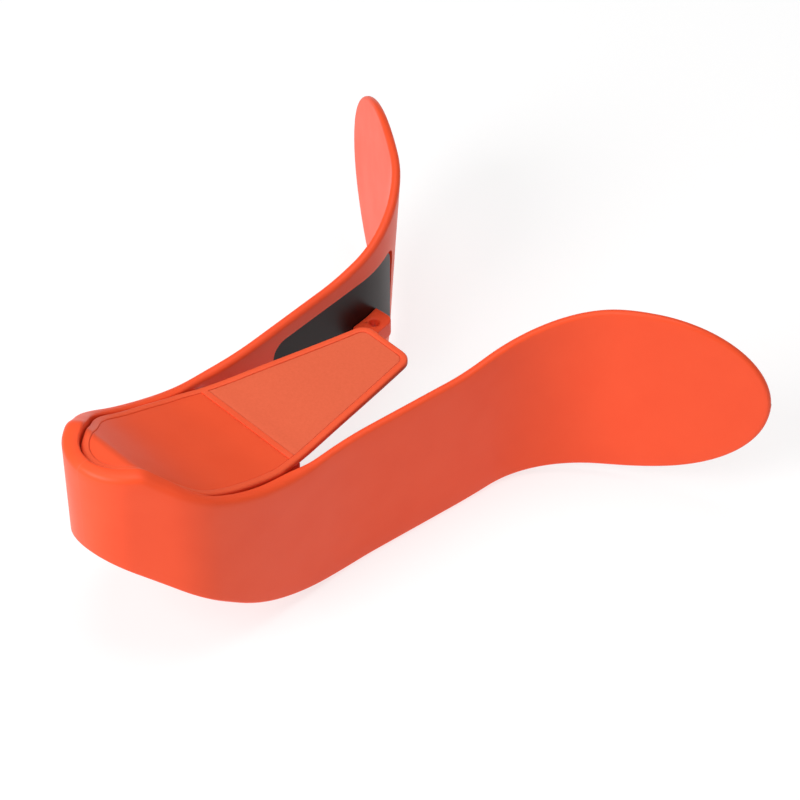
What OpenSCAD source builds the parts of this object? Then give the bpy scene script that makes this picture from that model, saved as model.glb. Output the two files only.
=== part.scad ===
// Hip and inner-thigh trainer: a springy U of moulded plastic with two flared wings.
// X runs across the trainer, Y from the nose to the open end, Z up from the floor.

/* [Band] */
// Thickness of the band's wall along the nose and the arms
wall = 4; // [3.6:0.1:5]
// Thickness of the wall at the wings' tips
wing_wall = 3.8; // [3:0.1:4.4]
// Height of the arms' rim above the floor
arm_h = 69.6; // [60:0.2:84]
// Length of each straight arm
arm_len = 59.4; // [49:0.2:72]
// Angle at which the arms spread towards the wings
arm_splay = 4.8; // [2:0.1:7]

/* [Nose] */
// Radius of the nose's tip, in plan
tip_r = 25; // [21:0.2:30]
// Length of the flat flank beside the tip
flank_len = 16.6; // [14:0.2:20]
// Angle of the flank from the trainer's length
flank_angle = 39; // [34:1:44]
// Radius of the shoulder behind the flank
shoulder_r = 32.5; // [27:0.5:39]
// Length of the cheek between the shoulder and the arm's root
cheek_len = 58; // [48:1:70]
// How far the nose stands above the arms' rim
nose_rise = 34.8; // [28:0.2:42]
// Radius of the saddle that climbs to the nose
saddle_r = 116; // [100:1:140]
// Radius of the brow where the saddle meets the flat head
brow_r = 7; // [4:0.5:12]
// Radius of the sweep under the nose
belly_r = 110; // [90:1:132]
// Slope of the belly's straight front
belly_angle = 37; // [31:1:40]

/* [Wings] */
// Angle by which each wing flares away from its arm
wing_flare = 55; // [45:1:65]
// Length of the bend between arm and wing
bend_len = 56; // [46:1:68]
// Length of the blade beyond the bend
blade_len = 63; // [52:1:76]
// How far the wing's top stands above the arm's rim
wing_rise = 17.8; // [12:0.2:21]
// How far the wing's lower edge stands above the floor
wing_lift = 7; // [6:0.5:11]
// Height of the wing's tip above the floor
wing_tip_z = 52; // [46:1:60]
// Lean of the blade, its foot towards the thigh
wing_lean = 4; // [0:0.5:7]

/* [Cover] */
// Width of the rim's ledge inside the wall
ledge_w = 2; // [1.7:0.1:2.4]
// Extra width of that rim at the flanks
rim_flank = 1.6; // [1.3:0.1:1.9]
// Depth of the rim's ledge
ledge_h = 6; // [5:0.2:7.2]
// Thickness of the cover
cover_t = 2.6; // [2.2:0.1:3.2]
// Step from the arms' rim down to the tongue
cover_drop = 3; // [2:0.1:3.6]
// Rise of the cover above the arms' line where it leaves the tongue
cover_lift = 2.4; // [1.6:0.1:2.8]
// Gap between the cover's edge and the rim
cover_gap = 0.8; // [0.5:0.1:1]
// Distance from the arm's root to the tongue's end
tongue_len = 66; // [56:0.5:81]
// Half width of the tongue where it ends
tongue_end_w = 14; // [11.5:0.1:17]
// Radius of the tongue's end corners
tongue_r = 6.5; // [5:0.1:8]
// Width of the cover's raised border
border_w = 3; // [2.5:0.1:3.6]
// Depth of the pockets inside the border
pocket_d = 0.8; // [0.6:0.1:1]
// Thickness of the inlays in the pockets
inlay_t = 0.5; // [0.3:0.1:0.6]

/* [Spring] */
// Thickness of the steel leaf
leaf_t = 1.2; // [0.8:0.1:1.4]
// Height of the bow round the nose
bow_h = 24; // [18:1:28]
// Height of the leaf's blade on the arm
leaf_h = 47; // [39:1:50]
// Distance from the arm's root to the start of the leaf's blade
leaf_from = 32; // [27:1:38]
// Distance from the arm's root to the end of the leaf
leaf_to = 111.5; // [98:0.5:116]
// Corner radius of the leaf
leaf_corner = 7; // [5:0.5:9]
// Step from the arm's inner face down to the leaf
leaf_step = 1.2; // [0.9:0.1:1.4]
// Clearance round the steel in its groove
leaf_gap = 0.3; // [0.2:0.05:0.4]

/* [Lugs] */
// How far the lug stands in from the arm
lug_reach = 10; // [9:0.5:12]
// Length of the lug along the arm
lug_len = 15; // [12.5:0.5:18]
// Thickness of the lug
lug_t = 8; // [6.5:0.2:9.6]
// Height of the lug's underside above the floor
lug_z = 31; // [26:0.5:36]
// Distance from the arm's root to the lug's middle
lug_at = 88.5; // [84:0.5:93]
// Diameter of the hole through the lug
lug_hole_d = 4.4; // [3.6:0.1:5]
// Diameter of the lug's two spigots
spigot_d = 4; // [3.2:0.1:4.8]

/* [Screws and fits] */
// Diameter of the self-tapping screws
screw_d = 2.9; // [2.4:0.1:3.4]
// Diameter of the screw heads
head_d = 5.6; // [4.8:0.1:6.4]
// Height of the screw heads
head_h = 1.8; // [1.5:0.1:2.1]
// Clearance between pieces that slide together
fit = 0.3; // [0.2:0.05:0.4]
// Thickness of the core's walls
core_wall = 3; // [2.4:0.1:3.6]
// Thickness of the bottom cover
base_t = 2.2; // [1.8:0.1:2.6]

/* [Hidden] */

ORANGE = [1, 0.36, 0.22];
PALE = [0.93, 0.42, 0.33];
BLACK = [0.13, 0.12, 0.12];
STEEL = [0.72, 0.72, 0.74];
FAR = 400;          // longer than anything that is cut with it
FINE = 64;          // facets of small round features

// ---- the band's outer face in plan, as arcs and straights from the tip's middle ----
// Each stretch is [length, turn]; a heading of 0 runs along +Y and 90 along +X.
CHEEK_TURN = 8;     // the cheeks toe in by 3 degrees behind the shoulders
CHEEK_HEADING = 5;
WAIST_LEN = 25;     // stretch over which the arms turn from toeing in to spreading
STRETCHES = [
    [tip_r * rad(90 - flank_angle), flank_angle - 90],
    [flank_len, 0],
    [shoulder_r * rad(flank_angle - CHEEK_HEADING), CHEEK_HEADING - flank_angle],
    [cheek_len * 0.48, -CHEEK_TURN],
    [cheek_len * 0.52, 0],
    [WAIST_LEN, arm_splay + CHEEK_TURN - CHEEK_HEADING],
    [arm_len, 0],
    [bend_len, wing_flare - 2],
    [blade_len, 2]];
N_NOSE = 5;         // stretches that belong to the nose

function rad(a) = a * PI / 180;
function total(v, n) = n <= 0 ? 0 : v[n - 1][0] + total(v, n - 1);
function heading_at(n) = n <= 0 ? 90 : heading_at(n - 1) + STRETCHES[n - 1][1];
function step(l, h, turn) = abs(turn) < 0.001 ? [l * sin(h), l * cos(h)]
    : [cos(h) - cos(h + turn), sin(h + turn) - sin(h)] * l / rad(turn);
function node_at(n) = n <= 0 ? [0, 0]
    : node_at(n - 1) + step(STRETCHES[n - 1][0], heading_at(n - 1), STRETCHES[n - 1][1]);
STARTS = [for (i = [0:9]) total(STRETCHES, i)];
HEADINGS = [for (i = [0:9]) heading_at(i)];
KNOTS = [for (i = [0:9]) node_at(i)];    // the nose's tip is at y = 0 here

function stretch_of(s, i = 8) = i <= 0 || s >= STARTS[i] ? max(i, 0) : stretch_of(s, i - 1);
function part_turn(s, i) = STRETCHES[i][1] * (s - STARTS[i]) / STRETCHES[i][0];
function heading(s) = let (i = stretch_of(s)) HEADINGS[i] + part_turn(s, i);
function inward(s) = [-cos(heading(s)), sin(heading(s))];
function from_tip(s, in = 0) = let (i = stretch_of(s))
    KNOTS[i] + step(s - STARTS[i], HEADINGS[i], part_turn(s, i)) + in * inward(s);
function on_band(s, in = 0) = from_tip(s, in) + [0, TIP_Y];

S_ROOT = STARTS[N_NOSE];
S_BEND = STARTS[7];
S_BLADE = STARTS[8];
S_TIP = STARTS[9];

function ramp(t) = let (c = min(1, max(0, t))) c * c * (3 - 2 * c);
function lens(t, n = 2) = t <= 0 ? 1 : pow(max(0, 1 - pow(t, n)), 1 / n);
function mirrored(pts) = [for (i = [len(pts) - 1:-1:0]) [-pts[i][0], pts[i][1]]];
function both(pts) = concat(pts, mirrored(pts));

// ---- the arm's and wing's section at each station ----
N_ARM = 10;
N_BEND = 14;
N_BLADE = 18;
N_RINGS = N_ARM + N_BEND + N_BLADE;
// Stations along the arm, close together where it bends and where the tip rounds off
function arm_s(i) = i <= N_ARM ? S_ROOT + (S_BEND - S_ROOT) * i / N_ARM
    : i <= N_ARM + N_BEND ? S_BEND + bend_len * (i - N_ARM) / N_BEND
    : S_BLADE + blade_len * sin(87 * (i - N_ARM - N_BEND) / N_BLADE);
TOP_OVAL = S_BLADE + blade_len * 0.2;
FOOT_OVAL = S_BLADE - blade_len * 0.09;
RISE_FROM = S_BEND - 20;
RISE_TO = S_BLADE + 10;
LIFT_FROM = S_BEND - 19;
LIFT_TO = S_BLADE + 20;
BELLY_BACK = 16.3;  // the lower edge leaves the floor this far behind the arm's root
function wing_top(s) = let (full = arm_h + wing_rise * ramp((s - RISE_FROM) / (RISE_TO - RISE_FROM)))
    wing_tip_z + (full - wing_tip_z) * lens((s - TOP_OVAL) / (S_TIP - TOP_OVAL));
function wing_foot(s) = let (
        low = belly(KNOTS[N_NOSE][1] + BELLY_BACK - from_tip(s)[1])
            + wing_lift * ramp((s - LIFT_FROM) / (LIFT_TO - LIFT_FROM)))
    wing_tip_z - (wing_tip_z - low) * lens((s - FOOT_OVAL) / (S_TIP - FOOT_OVAL));
function bent(s) = ramp((s - S_BEND) / bend_len);
function lean_at(s, z) = tan(wing_lean) * bent(s) * (z - arm_h - wing_rise / 2);
function wall_at(s) = wall + (wing_wall - wall) * bent(s);
EDGE = 0.9;         // chamfer of the band's edges
function arm_ring(s, y0) = let (t = wing_top(s), b = wing_foot(s), c = min(EDGE, (t - b) / 4), w = wall_at(s))
    [for (q = [[0, b + c], [0, t - c], [c, t], [w - c, t], [w, t - c], [w, b + c], [w - c, b], [c, b]])
        let (p = from_tip(s, q[0] + lean_at(s, q[1]))) [p[0], p[1] + y0, q[1]]];
// The frame's origin is midway between the nose's tip and the rearmost point of the wings
TIP_Y = -max([for (i = [N_ARM + N_BEND:N_RINGS]) for (p = arm_ring(arm_s(i), 0)) p[1]]) / 2;
ARM_ROOT_Y = on_band(S_ROOT)[1];
PIVOT = on_band(S_ROOT, wall / 2);

// ---- heights ----
SADDLE_Y = ARM_ROOT_Y - 1.9;     // where the rim starts to climb
BELLY_Y = ARM_ROOT_Y + BELLY_BACK;
SADDLE_A = acos(1 - nose_rise / (saddle_r + brow_r));
HEAD_Z = arm_h + nose_rise;

// Upper profile: level, up the saddle and over the brow to a level head
function climb(y, y0, z0, rise) = let (
        a = acos(1 - rise / (saddle_r + brow_r)),
        d = y0 - y, d1 = saddle_r * sin(a), d2 = (saddle_r + brow_r) * sin(a))
    d <= 0 ? z0 : d >= d2 ? z0 + rise
    : d <= d1 ? z0 + saddle_r - sqrt(pow(saddle_r, 2) - d * d)
    : z0 + rise - brow_r + sqrt(pow(brow_r, 2) - pow(d2 - d, 2));
function rim_z(y) = climb(y, SADDLE_Y, arm_h, nose_rise);
COVER_Y = SADDLE_Y + 5;          // the cover's own climb starts further back
function cover_z(y) = climb(y, COVER_Y, arm_h - cover_drop, nose_rise + 0.4)
    + cover_lift * ramp((TONGUE_Y - y) / (TONGUE_Y - RIB_Y)) * (1 - ramp((RIB_Y - 22 - y) / 32));
function belly(d) = let (d1 = belly_r * sin(belly_angle))
    d <= 0 ? 0 : d <= d1 ? belly_r - sqrt(pow(belly_r, 2) - d * d)
    : belly_r * (1 - cos(belly_angle)) + (d - d1) * tan(belly_angle);
function belly_z(y) = belly(BELLY_Y - y);
function mid_z(y) = (rim_z(y) + belly_z(y)) / 2;

// Side outline between two height functions, drawn from y1 back to y0
SIDE_STEP = 3;      // the same for every piece, so that those which follow one curve fit each other
function stations(y0, y1) = let (n = ceil((y1 - y0) / SIDE_STEP)) [for (i = [0:n]) min(y0 + SIDE_STEP * i, y1)];
function rim_line(y0, y1, up) = [for (y = stations(y0, y1)) [y, rim_z(y) + up]];
function cover_line(y0, y1, up) = [for (y = stations(y0, y1)) [y, cover_z(y) + up]];
function belly_line(y0, y1, up) = [for (y = stations(y0, y1)) [y, belly_z(y) + up]];
function mid_line(y0, y1, up) = [for (y = stations(y0, y1)) [y, mid_z(y) + up]];
function back(v) = [for (i = [len(v) - 1:-1:0]) v[i]];

// Solid whose plan is the children and whose side view is the outline
module between(side) intersection() {
    linear_extrude(FAR) children();
    rotate([90, 0, 90]) translate([0, 0, -FAR / 2]) linear_extrude(FAR) polygon(side);
}
module pair() for (m = [0, 1]) mirror([m, 0, 0]) children();
module upright(p, z0, z1, r) translate([p[0], p[1], z0]) cylinder(r = r, h = z1 - z0, $fn = FINE);

NOSE_Y0 = TIP_Y - 5;
NOSE_Y1 = ARM_ROOT_Y + 6;
function rim_band(top, bottom) = concat(back(rim_line(NOSE_Y0, NOSE_Y1, top)),
    rim_line(NOSE_Y0, NOSE_Y1, bottom));
function belly_to(line, bottom) = concat(back(line), belly_line(NOSE_Y0, NOSE_Y1, bottom));

// ---- plan outlines ----
function nose_s(s1) = let (n = 40) [for (i = [0:n]) s1 * i / n];
function nose_edge(in, s1 = S_ROOT) = [for (s = nose_s(s1)) on_band(s, in)];
function nose_bow(in, s1) = let (e = nose_edge(in, s1))
    concat(mirrored([for (i = [1:len(e) - 1]) e[i]]), e);
module nose_ring(in0, in1, s1 = S_ROOT) polygon(concat(nose_bow(in0, s1), back(nose_bow(in1, s1))));

// The cover's edge follows the shell and then the tongue's taper; inset shrinks it all round
S_COVER = S_ROOT - 21;
S_SHOULDER = STARTS[3];
function rim_at(s) = wall + ledge_w + rim_flank * pow(sin(180 * min(1, s / S_SHOULDER)), 2);
TONGUE_Y = ARM_ROOT_Y + tongue_len;
RIB_Y = ARM_ROOT_Y - 11;    // middle of the rib between the cover's two pockets
COVER_END = on_band(S_COVER, rim_at(S_COVER));
TAPER = atan((COVER_END[0] - tongue_end_w) / (TONGUE_Y - COVER_END[1]));
TONGUE_C = [tongue_end_w - tongue_r / cos(TAPER) + tongue_r * tan(TAPER), TONGUE_Y - tongue_r];
function tongue_corner(inset) = [for (i = [0:6]) let (a = TAPER + (90 - TAPER) * i / 6)
    TONGUE_C + (tongue_r - inset) * [cos(a), sin(a)]];
function cover_nose(inset) = [for (s = nose_s(S_COVER)) on_band(s, rim_at(s) + inset)];
function cover_edge(inset) = concat(cover_nose(inset), tongue_corner(inset));

// ---- nose shell ----
S_FLANK = (STARTS[1] + STARTS[2]) / 2;
SHELL_SCREW = on_band(S_FLANK, (wall + rim_at(S_FLANK) - cover_gap) / 2 + 0.2);
SHELL_SCREW_R = 0.8;
SHELL_HEAD_R = 1.4;
SHELL_GRIP = 3.6;   // how far the shell screws reach into the ledge
LEDGE_Z = rim_z(SHELL_SCREW[1]) - ledge_h;

function bow_side(grow) = concat(back(mid_line(NOSE_Y0, NOSE_Y1, bow_h / 2 + grow)),
    mid_line(NOSE_Y0, NOSE_Y1, -bow_h / 2 - grow));
STEEL_OUT = wall - leaf_step - leaf_t;   // offset of the steel's outer face
STEEL_IN = wall - leaf_step;             // offset of its inner face
SEAT = 0.02;        // hairline between pieces that seat on a curved face

module nose_shell() color(ORANGE) difference() {
    union() {
        between(belly_to(rim_line(NOSE_Y0, NOSE_Y1, 0), 0)) nose_ring(0, wall);
        between(rim_band(0, -ledge_h)) difference() {
            polygon(both(nose_edge(wall / 2)));
            polygon(both(concat(cover_nose(-cover_gap), [[COVER_END[0] + cover_gap, NOSE_Y1]])));
        }
    }
    between(bow_side(leaf_gap)) nose_ring(STEEL_OUT - SEAT, wall + 1);
    pair() upright(PIVOT, -1, FAR, wall / 2 + fit);
    pair() upright(SHELL_SCREW, LEDGE_Z - 8, LEDGE_Z + SHELL_GRIP, SHELL_SCREW_R);
}

// ---- spring ----
BOW_END = S_ROOT - wall / 2 - 1.4;
LEAF_START = S_ROOT + wall / 2 + 0.6;
module spring_bow() color(STEEL) between(bow_side(0)) nose_ring(STEEL_OUT, STEEL_IN, BOW_END);

LEAF_Z = arm_h / 2 + 3;
LEAF_Y0 = ARM_ROOT_Y + leaf_from;
LEAF_Y1 = on_band(S_ROOT + leaf_to)[1];
LEAF_NECK = 8;      // length over which the neck widens into the blade
function arc(c, r, a0) = [for (i = [0:5]) let (a = a0 + 18 * i) c + r * [cos(a), sin(a)]];
function leaf_side(grow) = let (r = leaf_corner, zt = LEAF_Z + leaf_h / 2, zb = LEAF_Z - leaf_h / 2,
        n = bow_h / 2 + grow, m = mid_z(ARM_ROOT_Y), y = LEAF_Y0 - LEAF_NECK) concat(
    [[ARM_ROOT_Y - 9, m - n], [y, m - n]], arc([LEAF_Y0 + r, zb + r], r + grow, 180),
    arc([LEAF_Y1 - r, zb + r], r + grow, 270), arc([LEAF_Y1 - r, zt - r], r + grow, 0),
    arc([LEAF_Y0 + r, zt - r], r + grow, 90), [[y, m + n], [ARM_ROOT_Y - 9, m + n]]);
function leaf_s(before, after) = concat([LEAF_START - before],
    [for (i = [1:23]) LEAF_START + (S_ROOT + leaf_to - LEAF_START) * i / 24], [S_ROOT + leaf_to + after]);
module leaf_plan(in0, in1, before = 0, after = 0) polygon(concat(
    [for (s = leaf_s(before, after)) on_band(s, in0)],
    [for (s = back(leaf_s(before, after))) on_band(s, in1)]));
module right_leaf() color(BLACK) difference() {
    between(leaf_side(0)) leaf_plan(STEEL_OUT, STEEL_IN);
    spigots(spigot_d / 2 + 0.1);
}
module left_leaf() mirror([1, 0, 0]) right_leaf();

// ---- arms and wings ----
module band_solid() {
    k = 8;
    rings = [for (i = [0:N_RINGS]) each arm_ring(arm_s(i), TIP_Y)];
    skin = [for (i = [0:N_RINGS - 1]) for (j = [0:k - 1]) let (a = i * k + j, b = i * k + (j + 1) % k)
        each [[a, b, b + k], [a, b + k, a + k]]];
    caps = [[for (j = [k - 1:-1:0]) j], [for (j = [0:k - 1]) N_RINGS * k + j]];
    polyhedron(rings, concat(skin, caps), convexity = 6);
}
module right_arm() color(ORANGE) difference() {
    union() {
        band_solid();
        upright(PIVOT, belly_z(ARM_ROOT_Y), arm_h, wall / 2);
    }
    between(leaf_side(leaf_gap)) leaf_plan(STEEL_OUT - SEAT, wall + 3, 4, leaf_gap);
    spigots(spigot_d / 2);
}
module left_arm() mirror([1, 0, 0]) right_arm();

// ---- lugs ----
S_LUG = S_ROOT + lug_at;
LUG_ROUND = 4;      // radius of the lug's inner corners
LUG_MID = lug_z + lug_t / 2;
SPIGOT_GRIP = 1;    // how far a spigot goes into the arm
SPIGOT_PITCH = lug_len * 0.5;
function lug_point(along, in) = on_band(S_LUG, STEEL_IN) + along * [sin(heading(S_LUG)), cos(heading(S_LUG))]
    + in * inward(S_LUG);
LUG_HOLE = lug_point(0, lug_reach * 0.5);
module spigots(r) for (side = [-1, 1])
    let (p = lug_point(side * SPIGOT_PITCH / 2, 0.8)) translate([p[0], p[1], LUG_MID])
        rotate([0, 0, 180 - heading(S_LUG)]) rotate([0, 90, 0])
            cylinder(r = r, h = 0.8 + leaf_t + SPIGOT_GRIP, $fn = FINE);
module right_lug() color(ORANGE) {
    h = lug_len / 2;
    difference() {
        union() {
            translate([0, 0, lug_z]) linear_extrude(lug_t) polygon(concat(
                [for (i = [0:4]) on_band(S_LUG - h + lug_len * i / 4, STEEL_IN + SEAT * 2)],
                [for (a = [0:18:90]) lug_point(h - LUG_ROUND * (1 - cos(a)), lug_reach - LUG_ROUND * (1 - sin(a)))],
                [for (a = [90:-18:0]) lug_point(LUG_ROUND * (1 - cos(a)) - h, lug_reach - LUG_ROUND * (1 - sin(a)))]));
            spigots(spigot_d / 2);
        }
        upright(LUG_HOLE, lug_z - 1, lug_z + lug_t + 1, lug_hole_d / 2);
    }
}
module left_lug() mirror([1, 0, 0]) right_lug();

// ---- core block ----
CORE_Y1 = ARM_ROOT_Y - 9;
CORE_IN = wall + fit;
DECK_T = 3;         // thickness of the deck under the cover
BOSS_R = 3.2;
BOSS_H = 8;         // length of the cover's bosses below its underside
WEB_T = 2.5;        // web that a screw head bears on
POST_R = 5.2;
FRONT_POST = [14, TIP_Y + 36];
REAR_POST = [21, CORE_Y1 - 9];
COVER_POSTS = [FRONT_POST, REAR_POST];
BASE_POSTS = [[0, TIP_Y + 24], [16, CORE_Y1 - 24], [-16, CORE_Y1 - 24]];
BASE_POST_R = 4.5;
BASE_H = 9;         // height of the bottom cover's screw bosses above the belly line
function under_cover(p) = cover_z(p[1]) - cover_t;
function boss_foot(p) = under_cover(p) - BOSS_H;
function base_top(p) = belly_z(p[1]) + BASE_H;
module core_plan(in, y1) intersection() {
    polygon(both(nose_edge(in)));
    translate([-FAR / 2, NOSE_Y0]) square([FAR, y1 - NOSE_Y0]);
}
CORE_SIDE_FOOT = base_t + 0.8;
CORE_SEAT = 0.1;    // hairline under the ledge and the cover, whose curves it follows
module core_block() color(ORANGE) difference() {
    union() {
        difference() {
            union() {
                between(belly_to(rim_line(NOSE_Y0, NOSE_Y1, -ledge_h - CORE_SEAT), CORE_SIDE_FOOT))
                    core_plan(CORE_IN, CORE_Y1);
                between(belly_to(cover_line(NOSE_Y0, NOSE_Y1, -cover_t - CORE_SEAT), CORE_SIDE_FOOT))
                    intersection() {
                        polygon(both(cover_edge(0)));
                        core_plan(CORE_IN, CORE_Y1);
                    }
            }
            between(belly_to(rim_line(NOSE_Y0, NOSE_Y1, -ledge_h - DECK_T), -2))
                core_plan(CORE_IN + core_wall, CORE_Y1 - core_wall);
        }
        pair() for (p = COVER_POSTS)
            upright(p, boss_foot(p) - WEB_T - 4, under_cover(p) - 4, POST_R);
        for (p = BASE_POSTS) upright(p, base_top(p), under_cover(p) - 4, BASE_POST_R);
    }
    pair() for (p = COVER_POSTS) {
        upright(p, boss_foot(p), FAR, BOSS_R + 0.2);
        upright(p, boss_foot(p) - WEB_T - 1, FAR, screw_d / 2 + 0.1);
        upright(p, boss_foot(p) - WEB_T - 40, boss_foot(p) - WEB_T, head_d / 2 + fit);
    }
    for (p = BASE_POSTS) upright(p, base_top(p) - 1, base_top(p) + 9, screw_d / 2);
    pair() {
        upright(SHELL_SCREW, LEDGE_Z - 9, LEDGE_Z + 1, SHELL_SCREW_R + 0.1);
        upright(SHELL_SCREW, LEDGE_Z - 30, LEDGE_Z - DECK_T, SHELL_HEAD_R + fit);
    }
}

// ---- top cover and its inlays ----
RIB_W = 2.6;        // width of the rib between the two pockets
COVER_Y1 = TONGUE_Y + 5;
function cover_band(top, bottom) = concat(back(cover_line(NOSE_Y0, COVER_Y1, top)),
    cover_line(NOSE_Y0, COVER_Y1, bottom));
module pocket_plan(inset, front) intersection() {
    polygon(both(cover_edge(border_w + inset)));
    if (front) translate([-FAR / 2, RIB_Y - RIB_W / 2 - inset - FAR]) square(FAR);
    else translate([-FAR / 2, RIB_Y + RIB_W / 2 + inset]) square(FAR);
}
module top_cover() color(ORANGE) difference() {
    union() {
        between(cover_band(0, -cover_t)) polygon(both(cover_edge(0)));
        pair() for (p = COVER_POSTS) upright(p, boss_foot(p), under_cover(p) + 0.5, BOSS_R);
    }
    for (front = [true, false]) between(cover_band(5, -pocket_d)) pocket_plan(0, front);
    pair() for (p = COVER_POSTS) upright(p, boss_foot(p) - 1, boss_foot(p) + BOSS_H - 1, screw_d / 2);
}
INLAY_GAP = 0.15;
module inlay(front) between(cover_band(inlay_t - pocket_d, -pocket_d)) pocket_plan(INLAY_GAP, front);
module nose_inlay() color(ORANGE) inlay(true);
module tongue_inlay() color(PALE) inlay(false);

// ---- bottom cover ----
BASE_FOOT = 0.8;    // how far the bottom cover sits up inside the shell's lower edge
function belly_band(top, bottom) = concat(back(belly_line(NOSE_Y0, NOSE_Y1, top)),
    belly_line(NOSE_Y0, NOSE_Y1, bottom));
module bottom_cover() color(ORANGE) difference() {
    union() {
        between(belly_band(CORE_SIDE_FOOT, BASE_FOOT)) core_plan(CORE_IN, CORE_Y1);
        for (p = BASE_POSTS) intersection() {
            upright(p, 0, base_top(p), BASE_POST_R);
            between(belly_band(FAR, BASE_FOOT)) core_plan(CORE_IN, CORE_Y1);
        }
    }
    for (p = BASE_POSTS) {
        upright(p, -1, base_top(p) - WEB_T, head_d / 2 + fit);
        upright(p, -1, FAR, screw_d / 2 + 0.1);
    }
}

// ---- screws ----
module screw(p, seat, grip, r = screw_d / 2, head_r = head_d / 2) difference() {
    union() {
        upright(p, seat - head_h, seat, head_r);
        upright(p, seat - 0.5, seat + grip, r);
    }
    translate([p[0], p[1], seat - head_h - 0.1]) cylinder(r = head_r * 0.4, h = 1, $fn = 6);
}
module cover_screws() color(STEEL) pair() for (p = COVER_POSTS)
    screw(p, boss_foot(p) - WEB_T, WEB_T + BOSS_H - 2);
module base_screws() color(STEEL) for (p = BASE_POSTS) screw(p, base_top(p) - WEB_T, WEB_T + 7);
module shell_screws() color(STEEL) pair()
    screw(SHELL_SCREW, LEDGE_Z - DECK_T, DECK_T + SHELL_GRIP - 0.4, SHELL_SCREW_R, SHELL_HEAD_R);

nose_shell();
right_arm();
left_arm();
top_cover();
nose_inlay();
tongue_inlay();
core_block();
bottom_cover();
spring_bow();
right_leaf();
left_leaf();
right_lug();
left_lug();
cover_screws();
base_screws();
shell_screws();
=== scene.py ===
import math

import bmesh
import bpy
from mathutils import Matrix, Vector


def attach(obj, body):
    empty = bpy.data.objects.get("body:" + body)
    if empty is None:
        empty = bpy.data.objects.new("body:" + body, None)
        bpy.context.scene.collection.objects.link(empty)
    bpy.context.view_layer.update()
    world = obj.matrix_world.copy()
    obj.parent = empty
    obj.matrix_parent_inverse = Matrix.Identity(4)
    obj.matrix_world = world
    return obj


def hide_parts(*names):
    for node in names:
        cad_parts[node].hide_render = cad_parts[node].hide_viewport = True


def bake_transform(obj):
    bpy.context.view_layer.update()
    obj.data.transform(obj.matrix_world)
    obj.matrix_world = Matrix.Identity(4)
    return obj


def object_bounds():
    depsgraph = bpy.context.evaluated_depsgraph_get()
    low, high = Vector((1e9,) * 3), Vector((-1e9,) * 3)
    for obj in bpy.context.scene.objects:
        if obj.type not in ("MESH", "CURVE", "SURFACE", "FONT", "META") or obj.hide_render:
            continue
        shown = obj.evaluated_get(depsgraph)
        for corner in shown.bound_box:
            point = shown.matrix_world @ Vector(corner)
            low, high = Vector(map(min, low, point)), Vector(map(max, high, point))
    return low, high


# Looks of the hip and inner-thigh trainer round its CAD frame. Lengths are millimetres until a mesh is made.
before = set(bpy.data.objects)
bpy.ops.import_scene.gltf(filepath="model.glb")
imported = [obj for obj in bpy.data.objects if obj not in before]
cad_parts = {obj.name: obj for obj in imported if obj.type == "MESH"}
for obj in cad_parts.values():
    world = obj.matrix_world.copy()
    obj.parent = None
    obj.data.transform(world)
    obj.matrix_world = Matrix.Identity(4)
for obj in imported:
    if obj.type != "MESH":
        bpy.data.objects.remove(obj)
CAD_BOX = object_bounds()
MM = 0.001


def rad(a):
    return math.radians(a)


def sin(a):
    return math.sin(rad(a))


def cos(a):
    return math.cos(rad(a))


def ramp(t):
    c = min(1.0, max(0.0, t))
    return c * c * (3 - 2 * c)


def mix(a, b, t):
    return a + (b - a) * t


# ---- the band's sizes, as in the CAD source ----
WALL, WING_WALL = 4.0, 3.8
ARM_H, ARM_LEN, SPLAY = 69.6, 59.4, 4.8
TIP_R, FLANK_LEN, FLANK_ANGLE, SHOULDER_R, CHEEK_LEN = 25.0, 16.6, 39.0, 32.5, 58.0
NOSE_RISE, SADDLE_R, BROW_R, BELLY_R, BELLY_ANGLE = 34.8, 116.0, 7.0, 110.0, 37.0
FLARE, BEND_LEN, BLADE_LEN = 55.0, 56.0, 63.0
WING_RISE, WING_LIFT, WING_TIP_Z, WING_LEAN = 17.8, 7.0, 52.0, 4.0
LEDGE_W, RIM_FLANK, LEDGE_H, COVER_GAP, COVER_LIFT = 2.0, 1.6, 6.0, 0.8, 2.4
COVER_T, COVER_DROP, TONGUE_LEN, TONGUE_END_W, TONGUE_R = 2.6, 3.0, 66.0, 14.0, 6.5
BORDER_W, POCKET_D, INLAY_T = 3.0, 0.8, 0.5
LEAF_T, LEAF_STEP, LEAF_GAP, LEAF_H, BOW_H = 1.2, 1.2, 0.3, 47.0, 24.0
LEAF_FROM, LEAF_TO, LEAF_CORNER = 32.0, 111.5, 7.0
CHEEK_TURN, CHEEK_HEADING, WAIST_LEN = 8.0, 5.0, 25.0
CHEEK_SPLIT, BLADE_TURN = 0.48, 2.0
TIP_Y = CAD_BOX[0][1] / MM  # the nose's tip is where the frame's box starts

STRETCHES = [
    (TIP_R * rad(90 - FLANK_ANGLE), FLANK_ANGLE - 90),
    (FLANK_LEN, 0),
    (SHOULDER_R * rad(FLANK_ANGLE - CHEEK_HEADING), CHEEK_HEADING - FLANK_ANGLE),
    (CHEEK_LEN * CHEEK_SPLIT, -CHEEK_TURN),
    (CHEEK_LEN * (1 - CHEEK_SPLIT), 0),
    (WAIST_LEN, SPLAY + CHEEK_TURN - CHEEK_HEADING),
    (ARM_LEN, 0),
    (BEND_LEN, FLARE - BLADE_TURN),
    (BLADE_LEN, BLADE_TURN),
]


def step(length, h, turn):
    if abs(turn) < 0.001:
        return length * sin(h), length * cos(h)
    k = length / rad(turn)
    return (cos(h) - cos(h + turn)) * k, (sin(h + turn) - sin(h)) * k


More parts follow.
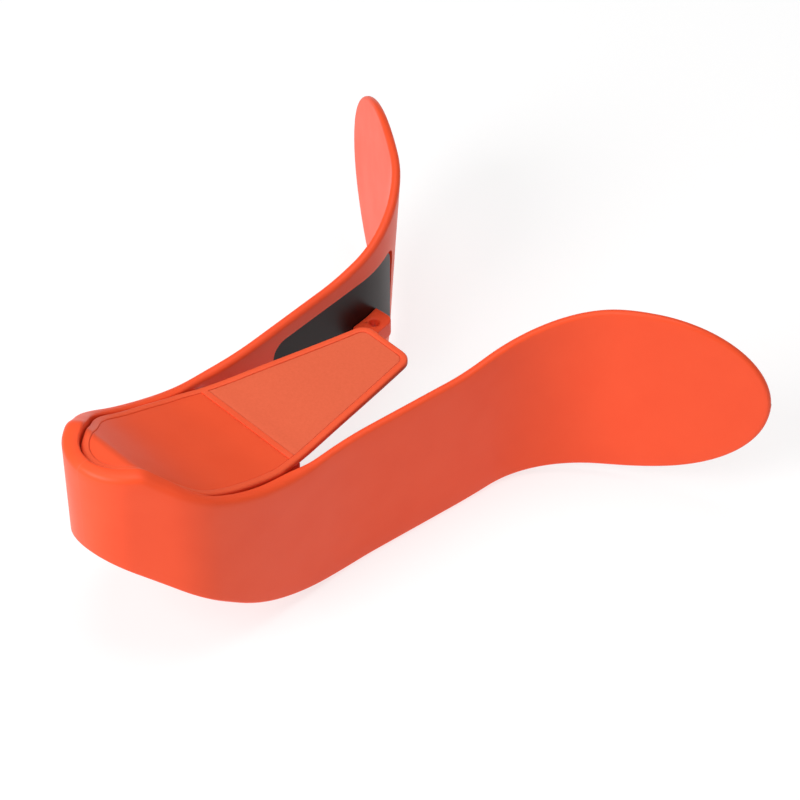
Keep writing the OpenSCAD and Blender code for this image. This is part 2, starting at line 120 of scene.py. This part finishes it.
STARTS, HEADINGS, KNOTS = [0.0], [90.0], [(0.0, 0.0)]
for length, turn in STRETCHES:
    dx, dy = step(length, HEADINGS[-1], turn)
    KNOTS.append((KNOTS[-1][0] + dx, KNOTS[-1][1] + dy))
    STARTS.append(STARTS[-1] + length)
    HEADINGS.append(HEADINGS[-1] + turn)
S_SHOULDER, S_ROOT, S_BEND, S_BLADE, S_TIP = STARTS[3], STARTS[5], STARTS[7], STARTS[8], STARTS[9]


def on_band(s, q=0.0):
    i = max(k for k in range(len(STRETCHES)) if s >= STARTS[k] or k == 0)
    part = STRETCHES[i][1] * (s - STARTS[i]) / STRETCHES[i][0]
    dx, dy = step(s - STARTS[i], HEADINGS[i], part)
    h = HEADINGS[i] + part
    return KNOTS[i][0] + dx - q * cos(h), KNOTS[i][1] + dy + q * sin(h) + TIP_Y


ROOT_Y = on_band(S_ROOT)[1]
SADDLE_Y = ROOT_Y - 1.9
BELLY_Y = ROOT_Y + 16.3
COVER_Y = SADDLE_Y + 5
RIB_Y, RIB_W = ROOT_Y - 11, 2.6
TONGUE_Y = ROOT_Y + TONGUE_LEN
COVER_CREST = 0.4  # how much more than the rim the cover climbs
LIFT_END, LIFT_FADE = RIB_Y - 22, 32.0  # where the cover's own lift fades out towards the nose


def climb(y, y0, z0, rise):
    a = math.degrees(math.acos(1 - rise / (SADDLE_R + BROW_R)))
    d, d1, d2 = y0 - y, SADDLE_R * sin(a), (SADDLE_R + BROW_R) * sin(a)
    if d <= 0:
        return z0
    if d >= d2:
        return z0 + rise
    if d <= d1:
        return z0 + SADDLE_R - math.sqrt(SADDLE_R**2 - d * d)
    return z0 + rise - BROW_R + math.sqrt(BROW_R**2 - (d2 - d) ** 2)


def rim_z(y):
    return climb(y, SADDLE_Y, ARM_H, NOSE_RISE)


def cover_z(y):
    lift = ramp((TONGUE_Y - y) / (TONGUE_Y - RIB_Y)) * (1 - ramp((LIFT_END - y) / LIFT_FADE))
    return climb(y, COVER_Y, ARM_H - COVER_DROP, NOSE_RISE + COVER_CREST) + COVER_LIFT * lift


def belly_z(y):
    d, d1 = BELLY_Y - y, BELLY_R * sin(BELLY_ANGLE)
    if d <= 0:
        return 0.0
    if d <= d1:
        return BELLY_R - math.sqrt(BELLY_R**2 - d * d)
    return BELLY_R * (1 - cos(BELLY_ANGLE)) + (d - d1) * math.tan(rad(BELLY_ANGLE))


WING_FROM = S_BEND - 30
RISE_FROM, RISE_TO = S_BEND - 20, S_BLADE + 10
LIFT_FROM, LIFT_TO = S_BEND - 19, S_BLADE + 20
TOP_OVAL, FOOT_OVAL = S_BLADE + BLADE_LEN * 0.2, S_BLADE - BLADE_LEN * 0.09


def lens(t):
    return 1.0 if t <= 0 else math.sqrt(max(0.0, 1 - t * t))


def band_top(s):
    if s < WING_FROM:
        return rim_z(on_band(s)[1])
    full = ARM_H + WING_RISE * ramp((s - RISE_FROM) / (RISE_TO - RISE_FROM))
    return WING_TIP_Z + (full - WING_TIP_Z) * lens((s - TOP_OVAL) / (S_TIP - TOP_OVAL))


def band_foot(s):
    low = belly_z(on_band(s)[1]) + WING_LIFT * ramp((s - LIFT_FROM) / (LIFT_TO - LIFT_FROM))
    return WING_TIP_Z - (WING_TIP_Z - low) * lens((s - FOOT_OVAL) / (S_TIP - FOOT_OVAL))


def bent(s):
    return ramp((s - S_BEND) / BEND_LEN)


def lean_at(s, z):
    return math.tan(rad(WING_LEAN)) * bent(s) * (z - ARM_H - WING_RISE / 2)


def wall_at(s):
    return mix(WALL, WING_WALL, bent(s))


def rim_at(s):
    return WALL + LEDGE_W + RIM_FLANK * sin(180 * min(1.0, s / S_SHOULDER)) ** 2


S_COVER = S_ROOT - 21
LEDGE_FADE, NOSE_FADE = 16.0, 22.0


def ledge_in(s):
    """Offset of the ledge's inner edge from the band's outer face, fading into the arm's wall."""
    if s <= S_COVER:
        return rim_at(s) - COVER_GAP
    return mix(rim_at(S_COVER) - COVER_GAP, wall_at(s), ramp((s - S_COVER) / LEDGE_FADE))


def nose_share(s):
    return 1 - ramp((s - S_COVER) / NOSE_FADE)


# ---- mesh helpers ----
def link(name, bm, sharp_angle=None):
    """The mesh as an object, smooth but for edges sharper than sharp_angle, where that is given."""
    bmesh.ops.recalc_face_normals(bm, faces=bm.faces)
    mesh = bpy.data.meshes.new(name)
    bm.to_mesh(mesh)
    bm.free()
    obj = bpy.data.objects.new(name, mesh)
    bpy.context.scene.collection.objects.link(obj)
    for p in mesh.polygons:
        p.use_smooth = True
    if sharp_angle:
        mesh.set_sharp_from_angle(angle=rad(sharp_angle))
    return obj


def flat_copy(obj):
    """The object's evaluated mesh as its own mesh, so no modifier is left on it."""
    deps = bpy.context.evaluated_depsgraph_get()
    mesh = bpy.data.meshes.new_from_object(obj.evaluated_get(deps))
    obj.modifiers.clear()
    obj.data = mesh
    return obj


def bridge(bm, a, b):
    """Quads between two closed rings of as many points."""
    for j in range(len(a)):
        k = (j + 1) % len(a)
        bm.faces.new((a[j], b[j], b[k], a[k]))


# ---- the moulded skin: one swept section from the nose's middle to the wing's tip ----
FIRST_STEP, NOSE_STEP, ARM_STEP, TIP_STEPS = 0.3, 1.6, 2.4, 46
ARM_BEAD, NOSE_BEAD, FOOT_BEAD = (1.6, 2.2), (3.0, 1.1), (1.5, 1.3)  # outer and inner radius of the edge
BEAD_FLAT = 0.2  # least flat between the two rounds
RAKE, RAKE_Z, RAKE_FROM, RAKE_LEN = 2.0, 78.0, 14.0, 40.0
FACE_ROWS = 9
SKIN_SHARP = 50


def skin_stations():
    """Stations along the band, closer together on the nose and towards the wing's round tip."""
    out = [0.0, FIRST_STEP]
    while out[-1] < S_BLADE - 2:
        out.append(out[-1] + (NOSE_STEP if out[-1] < S_SHOULDER + 4 else ARM_STEP))
    last = out[-1]
    return out + [last + (S_TIP - last) * sin(90 * i / TIP_STEPS) for i in range(1, TIP_STEPS + 1)]


def skin_rows(s, top):
    """Bead over the wall's edge as (offset in from the outer face, depth below the rim), outer side first."""
    nose, wall = nose_share(s), wall_at(s)
    if top:
        wide = ledge_in(s)
        ro, ri = (mix(a, b, nose) for a, b in zip(ARM_BEAD, NOSE_BEAD))
    else:
        wide = wall
        ro, ri = FOOT_BEAD
    ro = min(ro, wide - ri - BEAD_FLAT)
    rows = [(ro * (1 - cos(a)), ro * (1 - sin(a))) for a in range(0, 91, 15)]
    rows.append(((ro + wide - ri) / 2, -0.12 * nose if top else 0.0))
    rows += [(wide - ri * (1 - sin(a)), ri * (1 - cos(a))) for a in range(0, 91, 18)]
    if top:
        deep = mix(ri + 0.9, LEDGE_H, nose)
        rows += [(wide, mix(ri, deep, 0.5)), (wide, deep), (mix(wide, wall, 0.98), deep + 0.12)]
    return rows


def skin_point(s, z, q, side):
    """Point of the skin. The nose's outer face rakes back a little towards its foot."""
    front = 1 - ramp((s - RAKE_FROM) / RAKE_LEN)
    out = math.tan(rad(RAKE)) * front * (z - RAKE_Z) * max(0.0, 1 - q / WALL)
    x, y = on_band(s, q + lean_at(s, z) - out)
    return side * max(0.0, x) * MM, y * MM, z * MM


def outline_normals(outline):
    """Unit directions square to the band's outline, from each of its points to the inside."""
    last = len(outline) - 1
    normals = []
    for k in range(last + 1):
        a, b = outline[max(0, k - 1)], outline[min(last, k + 1)]
        ts, tz = b[0] - a[0], b[1] - a[1]
        if k in (0, last):
            ts, tz = (1, 0) if k == 0 else (-1, 0)
        size = math.hypot(ts, tz)
        normals.append((tz / size, -ts / size))
    return normals


def edge_points(s, point, normal, top):
    """The bead's points as (station, height, offset), laid off square to the outline."""
    return [(point[0] + normal[0] * d, point[1] + normal[1] * d, q) for q, d in skin_rows(s, top)]


def between(p, q):
    return [tuple(mix(p[c], q[c], j / (FACE_ROWS + 1)) for c in range(3)) for j in range(1, FACE_ROWS + 1)]


def half_skin(side, name):
    stations = skin_stations()
    outline = [(s, band_top(s)) for s in stations] + [(s, band_foot(s)) for s in reversed(stations[:-1])]
    normals = outline_normals(outline)
    bm = bmesh.new()
    columns = []
    for i, s in enumerate(stations):
        foot = len(outline) - 1 - i
        upper = edge_points(s, outline[i], normals[i], True)
        lower = edge_points(s, outline[foot], normals[foot], False)
        loop = upper + between(upper[-1], lower[-1]) + lower[::-1] + between(lower[0], upper[0])
        columns.append([bm.verts.new(skin_point(max(p[0], 0.0), p[1], p[2], side)) for p in loop])
    for a, b in zip(columns, columns[1:]):
        bridge(bm, a, b)
    bm.faces.new(columns[0])
    bmesh.ops.remove_doubles(bm, verts=bm.verts, dist=0.02 * MM)
    return link(name, bm, SKIN_SHARP)


def s_at(y):
    """Station of the arm at a given y, by halving."""
    lo, hi = S_ROOT - 30, S_BLADE
    for _ in range(40):
        mid = (lo + hi) / 2
        lo, hi = (mid, hi) if on_band(mid)[1] < y else (lo, mid)
    return lo


STEEL_OUT = WALL - LEAF_STEP - LEAF_T  # offset of the leaf's outer face
SEAT = 0.02  # hairline between pieces that seat on each other
LEAF_Z, LEAF_NECK = ARM_H / 2 + 3, 8.0
POCKET_START = S_ROOT + WALL / 2 - 3.4  # between the bow's end and the leaf's start
CORNER_ANGLES = range(15, 91, 15)


def leaf_cutter(side, grow):
    """Prism of the leaf's outline from under the leaf to beyond the wall's inner face."""
    mid = (rim_z(ROOT_Y) + belly_z(ROOT_Y)) / 2
    s0, s1 = s_at(ROOT_Y + LEAF_FROM), S_ROOT + LEAF_TO
    neck, r, half = BOW_H / 2 + grow, LEAF_CORNER + grow, LEAF_H / 2 + grow
    low, high = LEAF_Z - half, LEAF_Z + half
    reach = s0 - LEAF_NECK - POCKET_START
    rows = [(POCKET_START + reach * i / 6, mid - neck, mid + neck) for i in range(7)]
    rows.append((s0 - grow, low + r, high - r))
    rows += [(s0 - grow + r * (1 - cos(a)), low + r * (1 - sin(a)), high - r * (1 - sin(a)))
             for a in CORNER_ANGLES]
    left, right = rows[-1][0], s1 + grow - r
    rows += [(mix(left, right, i / 16), low, high) for i in range(1, 17)]
    rows += [(right + r * sin(a), low + r * (1 - cos(a)), high - r * (1 - cos(a))) for a in CORNER_ANGLES]
    bm = bmesh.new()
    rings = []
    for s, zb, zt in rows:
        ring = []
        for q, z in ((STEEL_OUT - SEAT, zb), (STEEL_OUT - SEAT, zt), (WALL + 3, zt), (WALL + 3, zb)):
            x, y = on_band(s, q)
            ring.append(bm.verts.new((side * x * MM, y * MM, z * MM)))
        rings.append(ring)
    for a, b in zip(rings, rings[1:]):
        bridge(bm, a, b)
    bm.faces.new(rings[0])
    bm.faces.new(rings[-1])
    return link("leaf_cutter", bm)


def carve(obj, cutter):
    cut = obj.modifiers.new("pocket", "BOOLEAN")
    cut.operation = "DIFFERENCE"
    cut.solver = "EXACT"
    cut.object = cutter
    flat_copy(obj)
    obj.data.set_sharp_from_angle(angle=rad(SKIN_SHARP))
    bpy.data.objects.remove(cutter)
    return obj


# ---- plates: the cover and its two inlays, built as loops inset from one outline ----
COVER_END = on_band(S_COVER, rim_at(S_COVER))
TAPER = math.degrees(math.atan((COVER_END[0] - TONGUE_END_W) / (TONGUE_Y - COVER_END[1])))
TONGUE_C = (TONGUE_END_W - TONGUE_R / cos(TAPER) + TONGUE_R * math.tan(rad(TAPER)), TONGUE_Y - TONGUE_R)


def nose_line(d):
    n = 56
    return [on_band(S_COVER * i / n, rim_at(S_COVER * i / n) + d) for i in range(n + 1)]


def corner_line(d):
    n = 8
    return [(TONGUE_C[0] + (TONGUE_R - d) * cos(a), TONGUE_C[1] + (TONGUE_R - d) * sin(a))
            for a in (TAPER + (90 - TAPER) * i / n for i in range(n + 1))]


def side_point(d, y):
    a, b = on_band(S_COVER, rim_at(S_COVER) + d), corner_line(d)[0]
    return mix(a[0], b[0], (y - a[1]) / (b[1] - a[1])), y


ACROSS = 12  # quads across a plate
PLATE_SHARP = 38


def whole_line(right):
    """Closed outline from its right-hand side: front edge, right, rear edge, left."""
    (x0, y0), (x1, y1) = right[0], right[-1]
    line = [(x0 * (2 * i / ACROSS - 1), y0) for i in range(1, ACROSS)] + right
    line += [(x1 * (1 - 2 * i / ACROSS), y1) for i in range(1, ACROSS)]
    return line + [(-x, y) for x, y in reversed(right)]


def fill(bm, ring, count):
    """Rows of quads across a closed outline with count points on each side."""
    right = ring[ACROSS - 1:ACROSS - 1 + count]
    left = list(reversed(ring[2 * ACROSS - 2 + count:]))
    rows = []
    for k in range(count):
        if k == 0:
            inner = ring[:ACROSS - 1]
        elif k == count - 1:
            inner = list(reversed(ring[ACROSS - 1 + count:2 * ACROSS - 2 + count]))
        else:
            inner = [bm.verts.new(left[k].co.lerp(right[k].co, i / ACROSS)) for i in range(1, ACROSS)]
        rows.append([left[k]] + inner + [right[k]])
    for a, b in zip(rows, rows[1:]):
        for i in range(ACROSS):
            bm.faces.new((a[i], a[i + 1], b[i + 1], b[i]))


def plate(name, outline, loops, floor_of=None):
    """Closed plate. outline(d) gives its right-hand side at inset d. loops are (inset, height) from the
    underside's edge round to the top, and floor_of(y, inset, height) may change a height."""
    bm = bmesh.new()
    rings = []
    for d, h in loops:
        ring = []
        for x, y in whole_line(outline(d)):
            height = cover_z(y) + (floor_of(y, d, h) if floor_of else h)
            ring.append(bm.verts.new((x * MM, y * MM, height * MM)))
        rings.append(ring)
    for a, b in zip(rings, rings[1:]):
        bridge(bm, a, b)
    for ring in (rings[0], rings[-1]):
        fill(bm, ring, len(outline(0.0)))
    bmesh.ops.remove_doubles(bm, verts=bm.verts, dist=0.01 * MM)
    return link(name, bm, PLATE_SHARP)


def cover_outline(d):
    ys = [RIB_Y - RIB_W / 2 - 0.25, RIB_Y - RIB_W / 2 - 0.02, RIB_Y - 0.6, RIB_Y + 0.6]
    ys += [RIB_Y + RIB_W / 2 + 0.02, RIB_Y + RIB_W / 2 + 0.25]
    end = corner_line(d)[0][1]
    ys += [mix(RIB_Y + 4, end - 1.5, i / 18) for i in range(19)]
    return nose_line(d) + [side_point(d, y) for y in ys] + corner_line(d)


def cover_floor(y, d, h):
    """Height of the cover's top: the rib keeps the border's level across the pockets."""
    if d > BORDER_W and abs(y - RIB_Y) < RIB_W / 2 + 0.1:
        return -0.02
    return h


def make_cover():
    b = BORDER_W
    loops = [(0.5, -COVER_T), (0.15, -COVER_T + 0.12), (0.0, -COVER_T + 0.45), (0.0, -1.0), (0.08, -0.62),
             (0.3, -0.28), (0.65, -0.07), (1.1, 0.0), (b - 0.5, 0.0), (b - 0.2, -0.06), (b, -0.24),
             (b + 0.04, -POCKET_D)]
    return plate("cover_plate", cover_outline, loops, cover_floor)


def nose_inlay_outline(d):
    y_end = RIB_Y - RIB_W / 2 - 0.15 - (d - BORDER_W)
    return nose_line(d) + [side_point(d, y) for y in (y_end - 1, y_end)]


def tongue_inlay_outline(d):
    y0 = RIB_Y + RIB_W / 2 + 0.15 + (d - BORDER_W)
    end = corner_line(d)[0][1]
    return [side_point(d, mix(y0, end - 1, i / 20)) for i in range(21)] + corner_line(d)


def make_inlay(name, outline):
    b, top = BORDER_W + 0.16, INLAY_T - POCKET_D
    loops = [(b, -POCKET_D + SEAT), (b, top - 0.2), (b + 0.1, top - 0.05), (b + 0.3, top)]
    return plate(name, outline, loops)


# ---- materials ----
def shader_node(nodes, kind, x, y, **values):
    """New node at (x, y). A value goes to the input of its name, or else to the property."""
    node = nodes.new(kind)
    node.location = (x, y)
    for key, value in values.items():
        if key in node.inputs:
            node.inputs[key].default_value = value
        else:
            setattr(node, key, value)
    return node


def plastic(name, base, shade, rough, grain=1400.0, grain_depth=0.05, mottle=60.0, edge_lighten=0.1, spec=0.22):
    """Moulded plastic: faint mottling, convex edges mixed a little towards white, uneven gloss and a fine
    grain.
    """
    mat = bpy.data.materials.new(name)
    mat.use_nodes = True
    nodes, links = mat.node_tree.nodes, mat.node_tree.links
    nodes.clear()
    out = shader_node(nodes, "ShaderNodeOutputMaterial", 900, 0)
    bsdf = shader_node(nodes, "ShaderNodeBsdfPrincipled", 600, 0)
    links.new(bsdf.outputs[0], out.inputs[0])
    coord = shader_node(nodes, "ShaderNodeTexCoord", -900, 0)
    cloud = shader_node(nodes, "ShaderNodeTexNoise", -650, 200, Scale=mottle, Detail=4.0)
    links.new(coord.outputs["Object"], cloud.inputs["Vector"])
    tint = shader_node(nodes, "ShaderNodeMix", -100, 200, data_type="RGBA")
    tint.inputs["A"].default_value = (*base, 1)
    tint.inputs["B"].default_value = (*shade, 1)
    links.new(cloud.outputs["Fac"], tint.inputs["Factor"])
    # convex edges, picked out by pointiness, are mixed towards white by up to the given amount
    geo = shader_node(nodes, "ShaderNodeNewGeometry", -650, 450)
    edge = shader_node(nodes, "ShaderNodeMapRange", -400, 450)
    edge.inputs["From Min"].default_value = 0.53
    edge.inputs["From Max"].default_value = 0.62
    edge.inputs["To Max"].default_value = edge_lighten
    links.new(geo.outputs["Pointiness"], edge.inputs["Value"])
    lightened_edges = shader_node(nodes, "ShaderNodeMix", 200, 200, data_type="RGBA")
    lightened_edges.inputs["B"].default_value = (*[mix(c, 1.0, 0.45) for c in base], 1)
    links.new(edge.outputs[0], lightened_edges.inputs["Factor"])
    links.new(tint.outputs["Result"], lightened_edges.inputs["A"])
    links.new(lightened_edges.outputs["Result"], bsdf.inputs["Base Color"])
    gloss = shader_node(nodes, "ShaderNodeMapRange", -100, -100)
    gloss.inputs["To Min"].default_value = rough - 0.05
    gloss.inputs["To Max"].default_value = rough + 0.07
    links.new(cloud.outputs["Fac"], gloss.inputs["Value"])
    links.new(gloss.outputs[0], bsdf.inputs["Roughness"])
    fine = shader_node(nodes, "ShaderNodeTexNoise", -650, -300, Scale=grain, Detail=2.0)
    links.new(coord.outputs["Object"], fine.inputs["Vector"])
    bump = shader_node(nodes, "ShaderNodeBump", 200, -300, Strength=grain_depth, Distance=0.0002)
    links.new(fine.outputs["Fac"], bump.inputs["Height"])
    links.new(bump.outputs[0], bsdf.inputs["Normal"])
    bsdf.inputs["Specular IOR Level"].default_value = spec
    return mat


def srgb(r, g, b):
    return tuple(c / 12.92 / 255 if c < 10.3 else ((c / 255 + 0.055) / 1.055) ** 2.4 for c in (r, g, b))


SHELL = plastic("shell_plastic", srgb(253, 90, 50), srgb(248, 83, 45), 0.38, spec=0.18)
COVER = plastic("cover_plastic", srgb(248, 97, 60), srgb(242, 90, 53), 0.42, spec=0.18)
NOSE_PAD = plastic("nose_pad_plastic", srgb(246, 90, 52), srgb(241, 84, 47), 0.46, spec=0.16)
TONGUE_PAD = plastic("tongue_pad_plastic", srgb(236, 106, 72), srgb(225, 96, 62), 0.62, grain=2600.0,
                     grain_depth=0.35, mottle=900.0)
LUG = plastic("lug_plastic", srgb(250, 86, 50), srgb(242, 78, 44), 0.4, edge_lighten=0.0)
CORE = plastic("core_plastic", srgb(226, 72, 42), srgb(214, 64, 36), 0.55, edge_lighten=0.0)
BLACK = plastic("leaf_lacquer", srgb(26, 14, 14), srgb(34, 20, 20), 0.3, grain=900.0, grain_depth=0.03,
                edge_lighten=0.0, spec=0.12)


def steel(name):
    mat = plastic(name, srgb(176, 176, 180), srgb(150, 150, 156), 0.3, grain=700.0, grain_depth=0.1, edge_lighten=0.0)
    for node in mat.node_tree.nodes:
        if node.type == "BSDF_PRINCIPLED":
            node.inputs["Metallic"].default_value = 1.0
    return mat


STEEL = steel("screw_steel")
SPRING = steel("spring_steel")


def dress(obj, mat):
    obj.data.materials.clear()
    obj.data.materials.append(mat)
    return obj


# ---- the pieces ----
def place(obj, body, mat, slot, *nodes):
    dress(obj, mat)
    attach(obj, body)
    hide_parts(*nodes)


for side, word in ((1, "right"), (-1, "left")):
    skin = carve(half_skin(side, word + "_skin"), leaf_cutter(side, LEAF_GAP))
    dress(skin, SHELL)
    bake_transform(skin)
    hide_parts("nose_shell", word + "_arm")

place(make_cover(), "frame", COVER, "orange_cover", "top_cover")
place(make_inlay("nose_pad", nose_inlay_outline), "frame", NOSE_PAD, "orange_cover", "nose_inlay")
place(make_inlay("tongue_pad", tongue_inlay_outline), "frame", TONGUE_PAD, "tongue_texture", "tongue_inlay")


def smooth_group():
    """Geometry nodes that shade every face smooth, so that a CAD node's own mesh stays as it is."""
    tree = bpy.data.node_groups.new("smooth_all", "GeometryNodeTree")
    for way in ("INPUT", "OUTPUT"):
        tree.interface.new_socket("Geometry", in_out=way, socket_type="NodeSocketGeometry")
    start, shade, end = (tree.nodes.new(kind) for kind in (
        "NodeGroupInput", "GeometryNodeSetShadeSmooth", "NodeGroupOutput"))
    tree.links.new(start.outputs[0], shade.inputs["Geometry"])
    tree.links.new(shade.outputs[0], end.inputs[0])
    return tree


SMOOTH = smooth_group()


def soften(node, mat, width, angle=30):
    """Bevelled, smooth-shaded look for a CAD node that stays as it is."""
    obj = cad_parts[node]
    dress(obj, mat)
    weld = obj.modifiers.new("weld", "WELD")
    weld.merge_threshold = 0.01 * MM
    smooth = obj.modifiers.new("smooth", "NODES")
    smooth.node_group = SMOOTH
    bevel = obj.modifiers.new("edges", "BEVEL")
    bevel.width = width * MM
    bevel.segments = 3
    bevel.limit_method = "ANGLE"
    bevel.angle_limit = rad(angle)
    obj.modifiers.new("shading", "WEIGHTED_NORMAL")


for word in ("right", "left"):
    soften(word + "_lug", LUG, 0.7, 35)
    soften(word + "_leaf", BLACK, 0.15, 40)
soften("core_block", CORE, 0.5, 40)
soften("bottom_cover", CORE, 0.4, 40)
soften("spring_bow", SPRING, 0.1, 40)
for name in ("cover_screws", "base_screws", "shell_screws"):
    soften(name, STEEL, 0.12, 40)

# ---- camera, from the perspective fit ----
ELEVATION, TURN = 43.38, 43.15  # how far the camera looks down, and round from the +X side towards the nose
LENS, SENSOR = 225.0, 36.0
DISTANCE, AIM_RIGHT, AIM_UP = 2.0, 0.056092, 0.008728  # metres; the picture's middle against the anchor
ANCHOR = Vector((0.0, (ROOT_Y - 4.7) * MM, 66.8 * MM))  # under the cover's top, by the saddle
RIGHT = Vector((sin(TURN), cos(TURN), 0))
AWAY = Vector((-cos(TURN), sin(TURN), 0))
FORWARD = cos(ELEVATION) * AWAY - sin(ELEVATION) * Vector((0, 0, 1))
UP = sin(ELEVATION) * AWAY + cos(ELEVATION) * Vector((0, 0, 1))
data = bpy.data.cameras.new("camera")
camera = bpy.data.objects.new("camera", data)
bpy.context.scene.collection.objects.link(camera)
data.sensor_width = SENSOR
data.lens = LENS
data.clip_end = 20
camera.location = ANCHOR - DISTANCE * FORWARD + AIM_RIGHT * RIGHT + AIM_UP * UP
camera.rotation_euler = FORWARD.to_track_quat("-Z", "Y").to_euler()
bpy.context.scene.camera = camera


# ---- floor and light ----
def make_floor():
    bm = bmesh.new()
    rings, n = [], 64
    for r in (0.25, 0.6, 1.2, 2.5, 5.0):
        rings.append([bm.verts.new((r * cos(360 * i / n), r * sin(360 * i / n), -0.0006)) for i in range(n)])
    for a, b in zip(rings, rings[1:]):
        bridge(bm, a, b)
    bm.faces.new(rings[0])
    obj = link("floor", bm)
    mat = bpy.data.materials.new("floor_white")
    mat.use_nodes = True
    bsdf = mat.node_tree.nodes["Principled BSDF"]
    bsdf.inputs["Base Color"].default_value = (0.35, 0.35, 0.35, 1)
    bsdf.inputs["Roughness"].default_value = 0.9
    bsdf.inputs["Specular IOR Level"].default_value = 0.1
    bsdf.inputs["Emission Color"].default_value = (1, 1, 1, 1)
    bsdf.inputs["Emission Strength"].default_value = 0.72
    dress(obj, mat)


make_floor()
world = bpy.data.worlds.new("studio")
bpy.context.scene.world = world
world.use_nodes = True
world.node_tree.nodes["Background"].inputs["Color"].default_value = (1, 1, 1, 1)
world.node_tree.nodes["Background"].inputs["Strength"].default_value = 0.15


LIGHT_REACH = 1.1


def softbox(name, direction, size, power):
    light = bpy.data.lights.new(name, "AREA")
    light.shape = "DISK"
    light.size = size
    light.energy = power
    obj = bpy.data.objects.new(name, light)
    bpy.context.scene.collection.objects.link(obj)
    way = Vector(direction).normalized()
    obj.location = Vector((0, 0, 0.05)) + way * LIGHT_REACH
    obj.rotation_euler = (-way).to_track_quat("-Z", "Y").to_euler()


softbox("key", -RIGHT * 0.75 - AWAY * 0.55 + Vector((0, 0, 0.7)), 0.7, 9.4)
softbox("top", Vector((0, 0.1, 1.0)), 1.0, 6.3)
softbox("fill", RIGHT * 0.9 - AWAY * 0.35 + Vector((0, 0, 0.6)), 0.9, 0.2)
softbox("edge", Vector((0.72, 0.4, 0.57)), 0.22, 0.3)
bpy.context.scene.view_settings.view_transform = "Standard"
